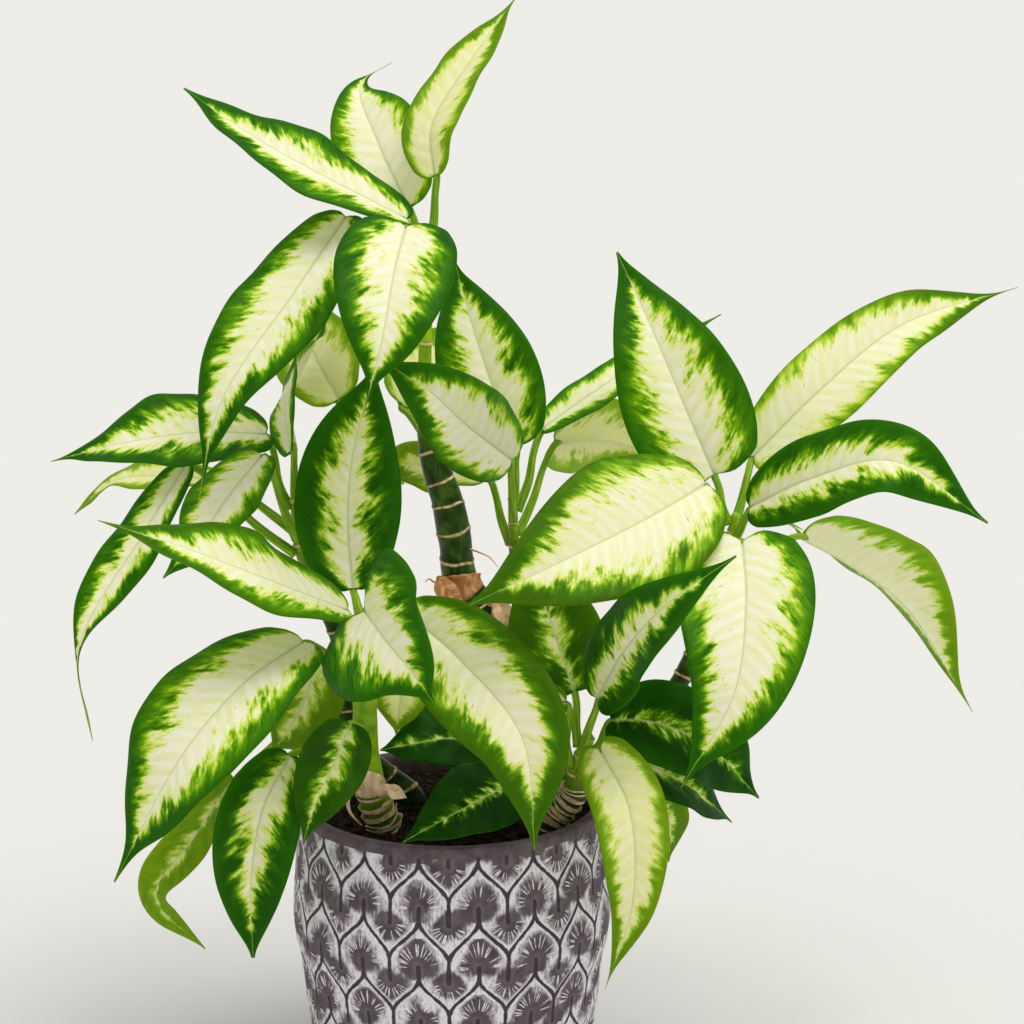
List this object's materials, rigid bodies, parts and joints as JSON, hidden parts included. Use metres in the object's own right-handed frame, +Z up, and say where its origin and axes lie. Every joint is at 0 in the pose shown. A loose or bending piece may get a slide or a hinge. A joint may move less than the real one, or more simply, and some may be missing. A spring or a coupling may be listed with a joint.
{
  "type": "potted dieffenbachia",
  "caption": "Bushy potted house plant with broad cream-centred green leaves on several ringed canes, in a dark round pot with a whitewashed lattice relief.",
  "frame": {"origin": "middle of the pot's flat base, in the plane it rests on", "axes": "+Z up the pot's axis, +X to the right and -Y towards someone looking at the plant's front"},
  "size_m": [0.5619, 0.2936, 0.6277],
  "materials": {
    "pot": "matt dark ceramic, whitewashed over its relief",
    "soil": "moist potting soil",
    "cane": "smooth green bark with tan leaf scars",
    "leaf": "satin leaf, cream in the middle and green at the edge",
    "husk": "dry papery leaf sheath"
  },
  "bodies": {
    "root": {"pot": "pot", "soil": "soil", "cane_main": "cane", "cane_back": "cane", "cane_left": "cane", "cane_front": "cane", "cane_small": "cane", "cane_right": "cane", "leaf_main_1": "leaf", "leaf_main_2": "leaf", "leaf_main_3": "leaf", "leaf_main_4": "leaf", "leaf_main_5": "leaf", "leaf_main_6": "leaf", "leaf_back_1": "leaf", "leaf_back_2": "leaf", "leaf_back_3": "leaf", "leaf_back_4": "leaf", "leaf_back_5": "leaf", "leaf_left_1": "leaf", "leaf_left_2": "leaf", "leaf_left_3": "leaf", "leaf_left_4": "leaf", "leaf_left_5": "leaf", "leaf_left_6": "leaf", "leaf_left_7": "leaf", "leaf_left_8": "leaf", "leaf_front_1": "leaf", "leaf_front_2": "leaf", "leaf_front_3": "leaf", "leaf_front_4": "leaf", "leaf_front_5": "leaf", "leaf_front_6": "leaf", "leaf_front_7": "leaf", "leaf_front_8": "leaf", "leaf_low_1": "leaf", "leaf_low_2": "leaf", "leaf_small_1": "leaf", "leaf_small_2": "leaf", "leaf_small_3": "leaf", "leaf_small_4": "leaf", "leaf_small_5": "leaf", "leaf_small_6": "leaf", "leaf_small_7": "leaf", "leaf_right_1": "leaf", "leaf_right_2": "leaf", "leaf_right_3": "leaf", "leaf_right_4": "leaf", "leaf_right_5": "leaf", "leaf_right_6": "leaf", "husk_main_1": "husk", "husk_main_2": "husk", "husk_front_1": "husk", "husk_front_2": "husk"}
  },
  "joints": []
}
